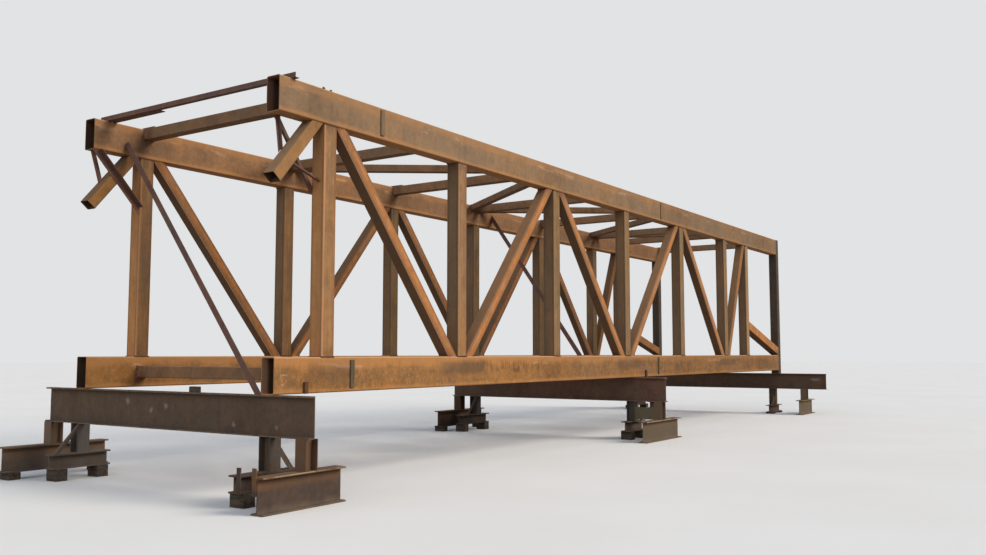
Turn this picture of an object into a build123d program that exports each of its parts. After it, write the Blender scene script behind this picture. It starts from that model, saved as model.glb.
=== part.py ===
from build123d import *
import os
from math import asin, atan2, cos, hypot, sin

# Segment of a steel link bridge, standing on three trestles. Sizes are in millimetres.
# X runs along the bridge from its open end, Y across it and Z up.
# The origin is on the ground, under the middle of the span. The right truss is at -Y.

# Truss layout, from the open end to the closed one
length = 17900.0
overhang = 800.0
equal_bays = 5
short_bay = 1500.0
end_bay = 2500.0
truss_height = 3460.0
bridge_width = 3580.0

# Hollow sections
chord_depth = 400.0
chord_width = 200.0
chord_wall = 10.0
post_size = 200.0
post_wall = 8.0
diagonal_depth = 145.0
diagonal_width = 168.0
diagonal_wall = 8.0
cross_size = 150.0
cross_wall = 6.0
plan_size = 120.0
plan_wall = 6.0
floor_plan_size = 100.0
floor_plan_wall = 5.0

# Unfinished ends
stub_length = 940.0
end_brace_size = 200.0
end_brace_rise = 720.0
end_post_foot = 85.0

# Erection angles: places are counted from the open end
brace_leg = 80.0
brace_plate = 8.0
angle_leg = 60.0
angle_plate = 6.0
light_leg = 40.0
light_plate = 4.0
spreader_place = 180.0
spreader_right_reach = 1840.0
spreader_left_reach = 1740.0
lap_gap = 20.0
lap_tip = 590.0
end_sway_top_place = 500.0
end_sway_top_drop = 228.0
end_sway_top_cut = 243.0
end_sway_foot_place = 85.0
end_sway_foot_setback = 90.0
mid_sway_top_place = 9175.0
mid_sway_top_drop = 175.0
mid_sway_foot_place = 7200.0
mid_sway_foot_height = 365.0
knee_setback = 15.0
left_knee_reach = 615.0
left_knee_drop = 660.0
right_knee_reach = 578.0
right_knee_drop = 786.0
left_hanger_place = 40.0
left_hanger_drift = 220.0
right_hanger_place = 150.0
right_hanger_drift = 100.0
tie_drop = 667.0
tie_rise = 220.0

# Stop cleats on the bottom chords
cleat_width = 50.0
cleat_height = 130.0
cleat_thickness = 30.0
cleat_offset = 375.0

# Trestles
girder_depth = 440.0
girder_width = 150.0
girder_web = 12.0
girder_flange = 18.0
first_girder_width = 80.0
first_girder_right_reach = 2315.0
first_girder_left_reach = 2460.0
middle_girder_right_reach = 2358.0
middle_girder_left_reach = 2395.0
last_girder_depth = 400.0
last_girder_reach = 2960.0
leg_depth = 170.0
leg_width = 155.0
leg_web = 8.0
leg_flange = 11.0
leg_space = 690.0
right_inner_leg = 1666.0
left_inner_leg = 1785.0
middle_right_inner_leg = 1691.0
middle_left_inner_leg = 1865.0
last_right_inner_leg = 1585.0
first_right_leg_inset = 107.0
first_left_leg_inset = 80.0
middle_leg_inset = 125.0
last_leg_inset = 560.0
right_raker_reach = 200.0
right_raker_rise = 250.0
left_raker_reach = 310.0
left_raker_rise = 345.0
leg_plate_height = 217.0
leg_plate_thickness = 10.0
leg_plate_setback = 77.0
bearer_width = 170.0
bearer_web = 12.0
bearer_flange = 18.0
right_bearer_depth = 370.0
right_bearer_front = 655.0
right_bearer_back = 505.0
left_bearer_depth = 315.0
left_bearer_front = 665.0
left_bearer_back = 745.0
middle_bearer_front = 745.0
middle_bearer_back = 800.0
last_bearer_front = 670.0
last_bearer_back = 505.0
low_bearer_depth = 185.0
low_bearer_back = 380.0
right_low_front = 475.0
left_low_front = 407.0
middle_right_low_front = 325.0
middle_left_low_front = 580.0
left_packer_height = 90.0
low_packer_height = 145.0
last_packer_height = 35.0
packer_length = 150.0
packer_width = 210.0
packer_inset = 40.0
lug_width = 58.0
lug_thickness = 12.0
lug_length = 270.0
lug_rise = 85.0
inner_lug_offset = 79.0
outer_lug_offset = 33.0

# Places along the bridge
bay = (length - overhang - short_bay - end_bay - post_size / 2) / equal_bays
open_end = -length / 2
closed_end = length / 2
post_places = [open_end + overhang + bay * i for i in range(equal_bays + 1)]
post_places.append(post_places[-1] + short_bay)
end_post_place = post_places[-1] + end_bay
chord_end = end_post_place - post_size / 2

# Places across the bridge
truss_line = (bridge_width - chord_width) / 2
inner_face = truss_line - chord_width / 2
outer_face = truss_line + chord_width / 2
end_post_face = truss_line - post_size / 2

# Heights above the ground
seat = leg_space + girder_depth
bottom_chord_top = seat + chord_depth
top_chord_top = seat + truss_height
top_chord_under = top_chord_top - chord_depth
web_height = top_chord_under - bottom_chord_top
last_seat = seat - end_post_foot

# Trestle places: the outer two carry the ends of the span, the other one its middle
first_trestle = open_end + girder_width / 2
middle_trestle = 0.0
last_trestle = closed_end - girder_width / 2

SIDES = {"right": -1, "left": 1}


def save(name, *pieces):
    """Write one node, which holds all solids of its pieces."""
    solids = [solid for piece in pieces for solid in piece.solids()]
    shape = solids[0] if len(solids) == 1 else Compound(children=solids)
    shape.label = name
    export_step(shape, "parts/" + name + ".step")


def box_section(width, depth, wall):
    """Rounded hollow section, its width along local X."""
    hollow = RectangleRounded(width - 2 * wall, depth - 2 * wall, wall)
    return RectangleRounded(width, depth, 2 * wall) - hollow


def i_section(width, depth, web, flange):
    """Rolled beam section, its web along local Y."""
    rise = (depth - flange) / 2
    plate = Rectangle(width, flange)
    return Rectangle(web, depth) + Pos(0, rise) * plate + Pos(0, -rise) * plate


def channel_section(width, depth, web, flange):
    """Rolled channel, the back of its web on local Y and its flanges towards local -X."""
    back = Align.MAX
    head = Pos(0, depth / 2) * Rectangle(width, flange, align=(back, Align.MAX))
    foot = Pos(0, -depth / 2) * Rectangle(width, flange, align=(back, Align.MIN))
    return Rectangle(web, depth, align=(back, Align.CENTER)) + head + foot


def angle_section(leg, plate):
    """Equal angle with its heel at the local origin and its legs along local +X and +Y."""
    low = (Align.MIN, Align.MIN)
    return Rectangle(leg, plate, align=low) + Rectangle(plate, leg, align=low)


def bar(section, start, end, side=(0, 1, 0)):
    """Straight bar of a section from one point to another, with its local X towards side."""
    path = Vector(*end) - Vector(*start)
    return extrude(Plane(origin=start, x_dir=side, z_dir=path) * section, amount=path.length)


def between(shape, axis, low, high):
    """The stretch of a shape between two planes across an axis."""
    reach = 4 * length
    size = [reach, reach, reach]
    middle = [0, 0, 0]
    size[axis] = high - low
    middle[axis] = (high + low) / 2
    return shape & Pos(*middle) * Box(*size)


def chord(side, height):
    """Chord of one truss, from the open end to the end post."""
    y = side * truss_line
    z = height + chord_depth / 2
    return bar(box_section(chord_width, chord_depth, chord_wall), (open_end, y, z), (chord_end, y, z))


def post(side, x):
    """Post between the chords."""
    y = side * truss_line
    section = box_section(post_size, post_size, post_wall)
    return bar(section, (x, y, bottom_chord_top), (x, y, top_chord_under))


def end_post(side):
    """Full-height post that closes the chords and stands on the last trestle."""
    y = side * truss_line
    section = box_section(post_size, post_size, post_wall)
    return bar(section, (end_post_place, y, last_seat), (end_post_place, y, top_chord_top))


def lean(span, rise, size):
    """Angle of a bar whose edges pass through opposite corners of a clear rectangle."""
    return atan2(rise, span) + asin(size / hypot(span, rise))


def diagonal(side, start, end, fall):
    """Diagonal between two posts, cut flat on both chords. It falls towards +X where fall is 1."""
    span = end - start - post_size
    angle = lean(span, web_height, diagonal_depth)
    half = hypot(span, web_height) / 2 + diagonal_depth
    x = (start + end) / 2
    y = side * truss_line
    z = (bottom_chord_top + top_chord_under) / 2
    run = half * cos(angle)
    rise = half * sin(angle) * fall
    section = box_section(diagonal_width, diagonal_depth, diagonal_wall)
    tube = bar(section, (x - run, y, z + rise), (x + run, y, z - rise))
    return between(tube, 2, bottom_chord_top, top_chord_under)


def truss_diagonals(side):
    """The six diagonals of one truss, falling and rising in turn."""
    bays = zip(post_places[:-1], post_places[1:])
    return [diagonal(side, start, end, 1 - 2 * (i % 2)) for i, (start, end) in enumerate(bays)]


def stub_angle():
    """The stub continues the pattern of the equal bays."""
    return lean(bay - post_size, web_height, diagonal_depth)


def stub_head():
    """Where the stub's centre line meets the underside of the top chord."""
    return post_places[0] - post_size / 2 - diagonal_depth / 2 / sin(stub_angle())


def stub(side):
    """Open-ended piece of the next bay's diagonal, cut square at its low end."""
    angle = stub_angle()
    y = side * truss_line
    back = diagonal_depth
    start = (stub_head() + back * cos(angle), y, top_chord_under + back * sin(angle))
    end = (stub_head() - stub_length * cos(angle), y, top_chord_under - stub_length * sin(angle))
    section = box_section(diagonal_width, diagonal_depth, diagonal_wall)
    return between(bar(section, start, end), 2, bottom_chord_top, top_chord_under)


def end_brace(side):
    """Low brace in the end bay, from the last post down to the foot of the end post."""
    start = post_places[-1] + post_size / 2
    end = chord_end
    span = end - start
    half = end_brace_size / 2
    angle = atan2(end_brace_rise, span) - asin(half / hypot(span, end_brace_rise))
    y = side * truss_line
    top = (start - half * cos(angle), y, bottom_chord_top + end_brace_rise + half * sin(angle))
    reach = hypot(span, end_brace_rise) + 2 * half
    low = (top[0] + reach * cos(angle), y, top[2] - reach * sin(angle))
    tube = bar(box_section(end_brace_size, end_brace_size, post_wall), top, low)
    return between(tube, 0, start, end)


def cross_beam(x, z, face):
    """Square tube across the bridge between the trusses' inner faces."""
    section = box_section(cross_size, cross_size, cross_wall)
    return bar(section, (x, -face, z), (x, face, z), (1, 0, 0))


def cross_beams(z):
    """Cross beams at every post and at the end posts."""
    beams = [cross_beam(x, z, inner_face) for x in post_places]
    return beams + [cross_beam(end_post_place, z, end_post_face)]


def plan_brace(start, end, z, size, wall, turn):
    """Level brace in one bay between the chords. It starts at the right truss where turn is 1."""
    span = end - start - cross_size
    width = 2 * inner_face
    angle = lean(span, width, size)
    half = hypot(span, width) / 2 + size
    x = (start + end) / 2
    run = half * cos(angle)
    drift = half * sin(angle) * turn
    tube = bar(box_section(size, size, wall), (x - run, -drift, z), (x + run, drift, z), (0, 0, 1))
    return between(tube, 1, -inner_face, inner_face)


def plan_braces(z, size, wall):
    """Zigzag of level braces, in every bay but the last."""
    bays = zip(post_places[:-1], post_places[1:])
    return [plan_brace(start, end, z, size, wall, 1 - 2 * (i % 2)) for i, (start, end) in enumerate(bays)]


def spreaders():
    """Two lapped angles on the top chords: a long one right across and a short one beside it."""
    x = open_end + spreader_place
    z = top_chord_top
    section = angle_section(angle_leg, angle_plate)
    long_angle = bar(section, (x, -spreader_right_reach, z), (x, spreader_left_reach, z), (0, 0, 1))
    x += angle_leg + lap_gap
    short_angle = bar(section, (x, lap_tip, z), (x, spreader_left_reach, z), (0, 0, 1))
    return [long_angle, short_angle]


def sway_brace(top_place, top_drop, top_cut, foot_place, foot_height, foot_setback):
    """Angle from the left top chord's inner face down across the opening to the right side."""
    top = Vector(open_end + top_place, inner_face, top_chord_top - top_drop)
    foot = Vector(open_end + foot_place, foot_setback - inner_face, seat + foot_height)
    extra = (foot - top).normalized() * 2 * brace_leg
    section = Pos(-brace_leg / 2, -brace_leg / 2) * angle_section(brace_leg, brace_plate)
    whole = bar(section, tuple(top - extra), tuple(foot + extra), (1, 0, 0))
    return between(between(whole, 1, -inner_face, inner_face), 2, seat, top_chord_top - top_cut)


def knee(side, reach, drop, size, plate):
    """Angle from the chord's underside near its end to the front face of the first post."""
    face = post_places[0] - post_size / 2
    y = side * (inner_face + knee_setback)
    angle = atan2(drop, reach)
    top = (face - reach - size * cos(angle), y, top_chord_under + size * sin(angle))
    low = (face + size * cos(angle), y, top_chord_under - drop - size * sin(angle))
    whole = bar(angle_section(size, plate), top, low, (0, -side, 0))
    return between(between(whole, 2, seat, top_chord_under), 0, open_end, face)


def hanger(side, line, place, drift):
    """Light angle from the chord's underside down to the top of the stub, out of plumb by a drift."""
    angle = stub_angle()
    y = side * line
    top = Vector(open_end + place, y, top_chord_under)
    foot = Vector(open_end + place + drift, y, top_chord_under - stub_length * sin(angle))
    extra = (foot - top).normalized() * light_leg
    whole = bar(angle_section(light_leg, light_plate), tuple(top - extra), tuple(foot), (0, side, 0))
    whole = between(whole, 2, seat, top_chord_under)
    top_line = stub_head() - diagonal_depth / 2 / sin(angle)
    surface = Plane(origin=(top_line, y, top_chord_under), z_dir=(-sin(angle), 0, cos(angle)))
    return split(whole, bisect_by=surface, keep=Keep.TOP)


def stub_tie(side):
    """Light angle from the stub's underside down to the front face of the first post."""
    angle = stub_angle()
    face = post_places[0] - post_size / 2
    z = top_chord_under - tie_drop
    y = side * truss_line
    end = Vector(face, y, z)
    path = end - Vector(open_end, y, z + tie_rise)
    start = end - path
    end += path.normalized() * light_leg
    whole = bar(angle_section(light_leg, light_plate), tuple(start), tuple(end), (0, 0, 1))
    whole = between(whole, 0, open_end, face)
    surface = Plane(origin=(face, y, top_chord_under), z_dir=(-sin(angle), 0, cos(angle)))
    return split(whole, bisect_by=surface, keep=Keep.BOTTOM)


def cleats(side):
    """Stop cleats on the outer face of a bottom chord, past the first two trestles."""
    y = side * (outer_face + cleat_thickness / 2)
    z = seat + cleat_height / 2
    block = Box(cleat_width, cleat_thickness, cleat_height)
    return [Pos(x + cleat_offset, y, z) * block for x in (first_trestle, middle_trestle)]


def girder(section, x, top, depth, right_reach, left_reach):
    """Beam across the bridge that carries both bottom chords."""
    z = top - depth / 2
    return bar(section, (x, -right_reach, z), (x, left_reach, z), (1, 0, 0))


def bearer(x, y, depth, front, back, packing, facing):
    """Beam on the ground along X under one leg, on packers where packing is not zero."""
    z = packing + depth / 2
    section = i_section(bearer_width, depth, bearer_web, bearer_flange)
    return bar(section, (x - facing * front, y, z), (x + facing * back, y, z))


def packers(x, y, front, back, packing, facing):
    """Blocks under both ends of a bearer."""
    inset = packer_inset + packer_length / 2
    block = Box(packer_length, packer_width, packing)
    return [Pos(x + facing * step, y, packing / 2) * block for step in (inset - front, back - inset)]


def leg(x, y, low, high, flanges_along):
    """Rolled column between a bearer and the girder."""
    section = i_section(leg_width, leg_depth, leg_web, leg_flange)
    return bar(section, (x, y, low), (x, y, high), flanges_along)


def raker(x, y, low, high, toward, reach, rise, size, plate):
    """Angle that props an inner leg's edge from its low bearer. Rise and reach are its upper edge's."""
    face = x + toward * leg_width / 2
    foot = Vector(face + toward * reach, y, low)
    head = Vector(face, y, low + rise)
    extra = (foot - head).normalized() * 2 * size
    ends = [tuple(head - extra), tuple(foot + extra)]
    whole = bar(angle_section(size, plate), *ends[::-toward], (0, 1, 0))
    whole = between(whole, 0, *sorted((face, face + toward * 2 * reach)))
    return between(whole, 2, low, high)


def leg_plate(x, inner, outer, low):
    """Plate between the two right legs of a trestle, near their front."""
    right = leg_width / 2 - outer
    left = -leg_depth / 2 - inner
    size = (leg_plate_thickness, left - right, leg_plate_height)
    return Pos(x - leg_plate_setback, (left + right) / 2, low + leg_plate_height / 2) * Box(*size)


def trestle(name, x, under, facing, low_packing, inner, outer, low_fronts, outer_fronts, outer_backs):
    """Four legs with two rakers, and the bearers and packers under them. Pairs are right and left."""
    depths = [right_bearer_depth, left_bearer_depth]
    packing = [0.0, left_packer_height]
    low_top = low_packing + low_bearer_depth
    half = leg_depth / 2
    right = (facing, right_raker_reach, right_raker_rise, angle_leg, angle_plate)
    left = (-facing, left_raker_reach, left_raker_rise, light_leg, light_plate)
    ends = (low_top, under)
    legs = [raker(x, -inner[0] - half, *ends, *right), raker(x, inner[1] - half, *ends, *left)]
    bearers = []
    blocks = []
    for i, side in enumerate(SIDES.values()):
        y = side * inner[i]
        legs.append(leg(x, y, low_top, under, (1, 0, 0)))
        bearers.append(bearer(x, y, low_bearer_depth, low_fronts[i], low_bearer_back, low_packing, facing))
        blocks += packers(x, y, low_fronts[i], low_bearer_back, low_packing, facing)
        y = side * outer[i]
        legs.append(leg(x, y, packing[i] + depths[i], under, (0, 1, 0)))
        bearers.append(bearer(x, y, depths[i], outer_fronts[i], outer_backs[i], packing[i], facing))
        if packing[i]:
            blocks += packers(x, y, outer_fronts[i], outer_backs[i], packing[i], facing)
    save(name + "_trestle_legs", *legs)
    save(name + "_trestle_bearers", *bearers)
    return blocks


def lug(front, y, bearer_top):
    """Flat bar on the near end of a bearer of the first trestle."""
    x = first_trestle - front - lug_thickness / 2
    z = bearer_top + lug_rise - lug_length / 2
    return Pos(x, y, z) * Box(lug_thickness, lug_width, lug_length)


def build_trestles():
    under = seat - girder_depth
    section = channel_section(first_girder_width, girder_depth, girder_web, girder_flange)
    back = first_trestle + girder_web / 2
    reaches = (first_girder_right_reach, first_girder_left_reach)
    save("first_trestle_girder", girder(section, back, seat, girder_depth, *reaches))
    section = i_section(girder_width, girder_depth, girder_web, girder_flange)
    reaches = (middle_girder_right_reach, middle_girder_left_reach)
    save("middle_trestle_girder", girder(section, middle_trestle, seat, girder_depth, *reaches))
    section = i_section(girder_width, last_girder_depth, girder_web, girder_flange)
    reaches = (last_girder_reach, last_girder_reach)
    save("last_trestle_girder", girder(section, last_trestle, last_seat, last_girder_depth, *reaches))

    packing = low_packer_height
    inner = (right_inner_leg, left_inner_leg)
    outer = (first_girder_right_reach - first_right_leg_inset, first_girder_left_reach - first_left_leg_inset)
    lows = (right_low_front, left_low_front)
    fronts = (right_bearer_front, left_bearer_front)
    backs = (right_bearer_back, left_bearer_back)
    blocks = trestle("first", first_trestle, under, 1, packing, inner, outer, lows, fronts, backs)
    inner_lug = lug(right_low_front, -inner[0] - inner_lug_offset, packing + low_bearer_depth)
    outer_lug = lug(right_bearer_front, outer_lug_offset - outer[0], right_bearer_depth)
    save("bearer_lugs", inner_lug, outer_lug)

    inner = (middle_right_inner_leg, middle_left_inner_leg)
    outer = (middle_girder_right_reach - middle_leg_inset, middle_girder_left_reach - middle_leg_inset)
    lows = (middle_right_low_front, middle_left_low_front)
    fronts = (middle_bearer_front, middle_bearer_front)
    backs = (middle_bearer_back, middle_bearer_back)
    blocks += trestle("middle", middle_trestle, under, 1, packing, inner, outer, lows, fronts, backs)
    save("middle_leg_plate", leg_plate(middle_trestle, inner[0], outer[0], right_bearer_depth))

    packing = last_packer_height
    under = last_seat - last_girder_depth
    inner = (last_right_inner_leg, left_inner_leg)
    outer = (last_girder_reach - last_leg_inset, last_girder_reach - last_leg_inset)
    lows = (right_low_front, left_low_front)
    fronts = (last_bearer_front, last_bearer_front)
    backs = (last_bearer_back, last_bearer_back)
    blocks += trestle("last", last_trestle, under, -1, packing, inner, outer, lows, fronts, backs)
    save("packing_blocks", *blocks)


def build_bridge():
    for name, side in SIDES.items():
        save(name + "_bottom_chord", chord(side, seat))
        save(name + "_top_chord", chord(side, top_chord_under))
        for i, x in enumerate(post_places):
            save(name + "_post_%d" % (i + 1), post(side, x))
        save(name + "_end_post", end_post(side))
        save(name + "_diagonals", *truss_diagonals(side))
    save("stub_diagonals", stub(-1), stub(1))
    save("end_bay_braces", end_brace(-1), end_brace(1))
    save("top_cross_beams", *cross_beams(top_chord_top - cross_size / 2))
    save("floor_cross_beams", *cross_beams(seat + chord_depth / 2))
    save("top_plan_braces", *plan_braces(top_chord_top - plan_size / 2, plan_size, plan_wall))
    save("floor_plan_braces", *plan_braces(seat + chord_depth / 2, floor_plan_size, floor_plan_wall))
    save("spreader_angles", *spreaders())
    top = (end_sway_top_place, end_sway_top_drop, end_sway_top_cut)
    save("end_sway_brace", sway_brace(*top, end_sway_foot_place, 0.0, end_sway_foot_setback))
    top = (mid_sway_top_place, mid_sway_top_drop, 0.0)
    save("middle_sway_brace", sway_brace(*top, mid_sway_foot_place, mid_sway_foot_height, 0.0))
    right_knee = knee(-1, right_knee_reach, right_knee_drop, light_leg, light_plate)
    left_knee = knee(1, left_knee_reach, left_knee_drop, brace_leg, brace_plate)
    save("knee_angles", right_knee, left_knee)
    stub_face = truss_line - diagonal_width / 2
    right_hanger = hanger(-1, stub_face, right_hanger_place, right_hanger_drift)
    left_hanger = hanger(1, truss_line, left_hanger_place, left_hanger_drift)
    save("stub_hangers", right_hanger, left_hanger, stub_tie(-1))
    save("stop_cleats", *cleats(-1), *cleats(1))


os.makedirs("parts", exist_ok=True)
build_bridge()
build_trestles()
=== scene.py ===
import math
import random

import bmesh
import bpy
from mathutils import Matrix, Vector


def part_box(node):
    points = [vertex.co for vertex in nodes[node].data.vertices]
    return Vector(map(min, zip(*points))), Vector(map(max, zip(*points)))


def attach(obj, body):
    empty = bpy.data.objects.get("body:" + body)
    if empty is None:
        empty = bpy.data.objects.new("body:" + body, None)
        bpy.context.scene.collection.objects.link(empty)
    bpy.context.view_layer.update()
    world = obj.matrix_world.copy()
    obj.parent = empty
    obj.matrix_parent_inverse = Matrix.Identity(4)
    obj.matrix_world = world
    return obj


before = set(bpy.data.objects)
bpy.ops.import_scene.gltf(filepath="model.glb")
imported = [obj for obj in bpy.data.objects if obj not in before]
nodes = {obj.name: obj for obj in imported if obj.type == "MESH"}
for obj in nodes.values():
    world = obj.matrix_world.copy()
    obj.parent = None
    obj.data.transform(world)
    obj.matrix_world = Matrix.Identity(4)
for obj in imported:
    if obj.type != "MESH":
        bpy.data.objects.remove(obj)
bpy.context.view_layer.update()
random.seed(7)

# Places read from the frame, in metres
LEFT, RIGHT = 1, -1
SIDE_NAMES = ("right", "left")
POSTS = range(1, 8)
chord_low, chord_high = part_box("right_bottom_chord")
upper_low, upper_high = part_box("right_top_chord")
open_end = chord_low.x
seat = chord_low.z
web_bottom = chord_high.z
web_top = upper_low.z
roof = upper_high.z
outer_face = -chord_low.y
inner_face = -chord_high.y
truss_line = (outer_face + inner_face) / 2
post_boxes = [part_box("right_post_%d" % i) for i in POSTS]
post_places = [(low.x + high.x) / 2 for low, high in post_boxes]
bay = post_places[1] - post_places[0]
post_half = post_boxes[0][1].x - post_places[0]

# Walls of the hollow sections, as their cut ends show them
CHORD_WALL = 0.010
TUBE_WALL = 0.008


def srgb(red, green, blue):
    """Linear colour of a screen colour in steps of 0 to 255."""
    linear = [((c / 255 + 0.055) / 1.055) ** 2.4 if c > 10 else c / 255 / 12.92 for c in (red, green, blue)]
    return (*linear, 1.0)


# Rust, scale, burnt steel, hollows, and a pale colour for smears and painted highlights, on several pieces
SCALE_GREY = srgb(128, 108, 82)
BLOOM = srgb(206, 142, 82)
PALE_SMEAR_AND_HIGHLIGHT = srgb(238, 192, 150)
BURNT = srgb(92, 62, 42)
HOLLOW = srgb(78, 58, 44)
LIT_HOLLOW = srgb(186, 140, 104)
LIT_UPPER_HOLLOW = srgb(128, 88, 68)

# Marks on the chords
NODE_STAIN = srgb(108, 84, 62)
SMUDGE_BROWN = srgb(120, 90, 62)
CHALK = srgb(206, 184, 152)
GROUND_WELD = srgb(206, 176, 140)

# Marks, painted highlights, painted shade and painted light on the posts
SOFT_HIGHLIGHT = srgb(224, 166, 118)
STRIPE_BROWN = srgb(120, 98, 74)
DULL_EDGE = srgb(84, 72, 56)
WARM_EDGE = srgb(142, 90, 50)
GREY_SHADED_SIDE = srgb(174, 150, 120)
FIRST_SIDE_LIT = srgb(196, 128, 68)
LATER_OLIVE = srgb(88, 94, 68)

# Marks, painted shade and painted highlights on what slants
SLANT_TOP = srgb(138, 114, 88)
SLANT_UNDER_SHADE = srgb(110, 96, 76)
SLANT_EDGE = srgb(140, 94, 54)
SLANT_MIDDLE = srgb(232, 160, 116)
SLANT_SCALE = srgb(158, 122, 94)
SLANT_RIM_HIGHLIGHT = srgb(226, 178, 140)

# Marks on the straps and cross beams
STRAP_LIGHT = srgb(150, 122, 92)
HEAT_TINT = srgb(92, 60, 46)

# Marks on the trestles, and a brown for painted light on the near left bearers
FLANGE_EDGE = srgb(142, 124, 104)
SPLASH = srgb(170, 158, 142)
RED_SOIL = srgb(132, 94, 60)
RAKER_BROWN = srgb(124, 86, 62)
FAR_OLIVE = srgb(126, 110, 82)
NEAR_LEFT_LIT_BROWN = srgb(92, 83, 70)
DUST = srgb(148, 126, 100)
BEARER_RIM = srgb(196, 172, 134)


class Signal:
    """Number on a shader socket. Sums written with it add Math nodes."""

    def __init__(self, shader, socket):
        self.shader = shader
        self.socket = socket

    def math(self, operation, *values):
        node = self.shader.node("ShaderNodeMath", {"operation": operation}, dict(enumerate(values)))
        return Signal(self.shader, node.outputs[0])

    def __add__(self, other):
        return self.math("ADD", self, other)

    def __radd__(self, other):
        return self.math("ADD", other, self)

    def __sub__(self, other):
        return self.math("SUBTRACT", self, other)

    def __rsub__(self, other):
        return self.math("SUBTRACT", other, self)

    def __mul__(self, other):
        return self.math("MULTIPLY", self, other)

    def __rmul__(self, other):
        return self.math("MULTIPLY", other, self)

    def __truediv__(self, other):
        return self.math("DIVIDE", self, other)

    def __abs__(self):
        return self.math("ABSOLUTE", self)

    def root(self):
        return self.math("SQRT", self)

    def larger(self, other):
        return self.math("MAXIMUM", self, other)

    def sawtooth(self, period):
        return self.math("PINGPONG", self, period)

    def repeat(self, period):
        return self.math("FLOORED_MODULO", self, period)

    def ramp(self, low, high):
        """Smooth rise from 0 at low to 1 at high. It falls where low is larger."""
        sockets = {"Value": self, "From Min": min(low, high), "From Max": max(low, high)}
        if low > high:
            sockets.update({"To Min": 1.0, "To Max": 0.0})
        node = self.shader.node("ShaderNodeMapRange", {"interpolation_type": "SMOOTHSTEP"}, sockets)
        return Signal(self.shader, node.outputs["Result"])


class Shader:
    """Node tree of a material or of the world."""

    def __init__(self, tree):
        self.tree = tree
        self.tree.nodes.clear()

    def node(self, kind, settings=None, sockets=None):
        """Add a node: its settings first, then the values or links of its sockets."""
        node = self.tree.nodes.new(kind)
        for key, value in (settings or {}).items():
            setattr(node, key, value)
        for key, value in (sockets or {}).items():
            socket = self.find(node.inputs, key)
            value = value.socket if isinstance(value, Signal) else value
            if isinstance(value, bpy.types.NodeSocket):
                self.tree.links.new(value, socket)
            else:
                socket.default_value = value
        return node

    def find(self, sockets, key):
        """Socket with a number, an identifier or a name."""
        if isinstance(key, int):
            return sockets[key]
        return next(s for s in sockets if key in (s.identifier, s.name))

    def seen(self):
        """1 where it is looked at, also in gloss or through glass, and 0 where it only gives light."""
        path = self.node("ShaderNodeLightPath").outputs
        names = ("Is Camera Ray", "Is Glossy Ray", "Is Transmission Ray")
        direct, in_gloss, through = [Signal(self, path[name]) for name in names]
        return direct.larger(in_gloss).larger(through)


class Finish(Shader):
    """Procedural material in the object's own coordinates."""

    def __init__(self, name):
        self.material = bpy.data.materials.new(name)
        self.material.use_nodes = True
        super().__init__(self.material.node_tree)
        coordinates = self.node("ShaderNodeTexCoord").outputs
        self.place = coordinates["Object"]
        self.x, self.y, self.z = self.parts(self.place)
        facing = self.node("ShaderNodeVectorMath", {"operation": "ABSOLUTE"}, {0: coordinates["Normal"]})
        self.face_x, self.face_y, self.face_z = self.parts(facing.outputs[0])
        self.east, _, self.up = self.parts(coordinates["Normal"])

    def parts(self, vector):
        """The three numbers of a vector."""
        node = self.node("ShaderNodeSeparateXYZ", None, {0: vector})
        return [Signal(self, output) for output in node.outputs]

    def stretched(self, x=1.0, y=1.0, z=1.0):
        """The object's coordinates with each axis on its own scale. A small one draws a pattern out."""
        node = self.node("ShaderNodeVectorMath", {"operation": "MULTIPLY"}, {0: self.place, 1: (x, y, z)})
        return node.outputs[0]

    def noise(self, scale, detail=4.0, roughness=0.55, place=None, distortion=0.0):
        """Cloudy pattern round 0.5. Its scale is about how many clouds fit in a metre."""
        sockets = {"Vector": place or self.place, "Scale": scale, "Detail": detail}
        sockets.update({"Roughness": roughness, "Distortion": distortion})
        node = self.node("ShaderNodeTexNoise", None, sockets)
        return Signal(self, node.outputs[0])

    def mix(self, amount, first, second):
        """Colour between two colours."""
        sockets = {"Factor_Float": amount, "A_Color": first, "B_Color": second}
        node = self.node("ShaderNodeMix", {"data_type": "RGBA"}, sockets)
        return self.find(node.outputs, "Result_Color")

    def shade(self, amount, colour, factor):
        """The colour times a grey factor, where amount is 1."""
        sockets = {"Factor_Float": amount, "A_Color": colour, "B_Color": (factor, factor, factor, 1.0)}
        node = self.node("ShaderNodeMix", {"data_type": "RGBA", "blend_type": "MULTIPLY"}, sockets)
        return self.find(node.outputs, "Result_Color")

    def done(self, colour, roughness, height, depth, metallic=0.0):
        """Close the material with its colour, roughness and relief. Depth is in metres."""
        bump = self.node("ShaderNodeBump", None, {"Height": height, "Distance": depth, "Strength": 1.0})
        sockets = {"Base Color": colour, "Roughness": roughness, "Metallic": metallic}
        sockets.update({"Normal": bump.outputs[0], "Specular IOR Level": 0.2})
        shader = self.node("ShaderNodeBsdfPrincipled", None, sockets)
        self.node("ShaderNodeOutputMaterial", None, {"Surface": shader.outputs[0]})
        return self.material


RUST_RELIEF = 0.0013


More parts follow.
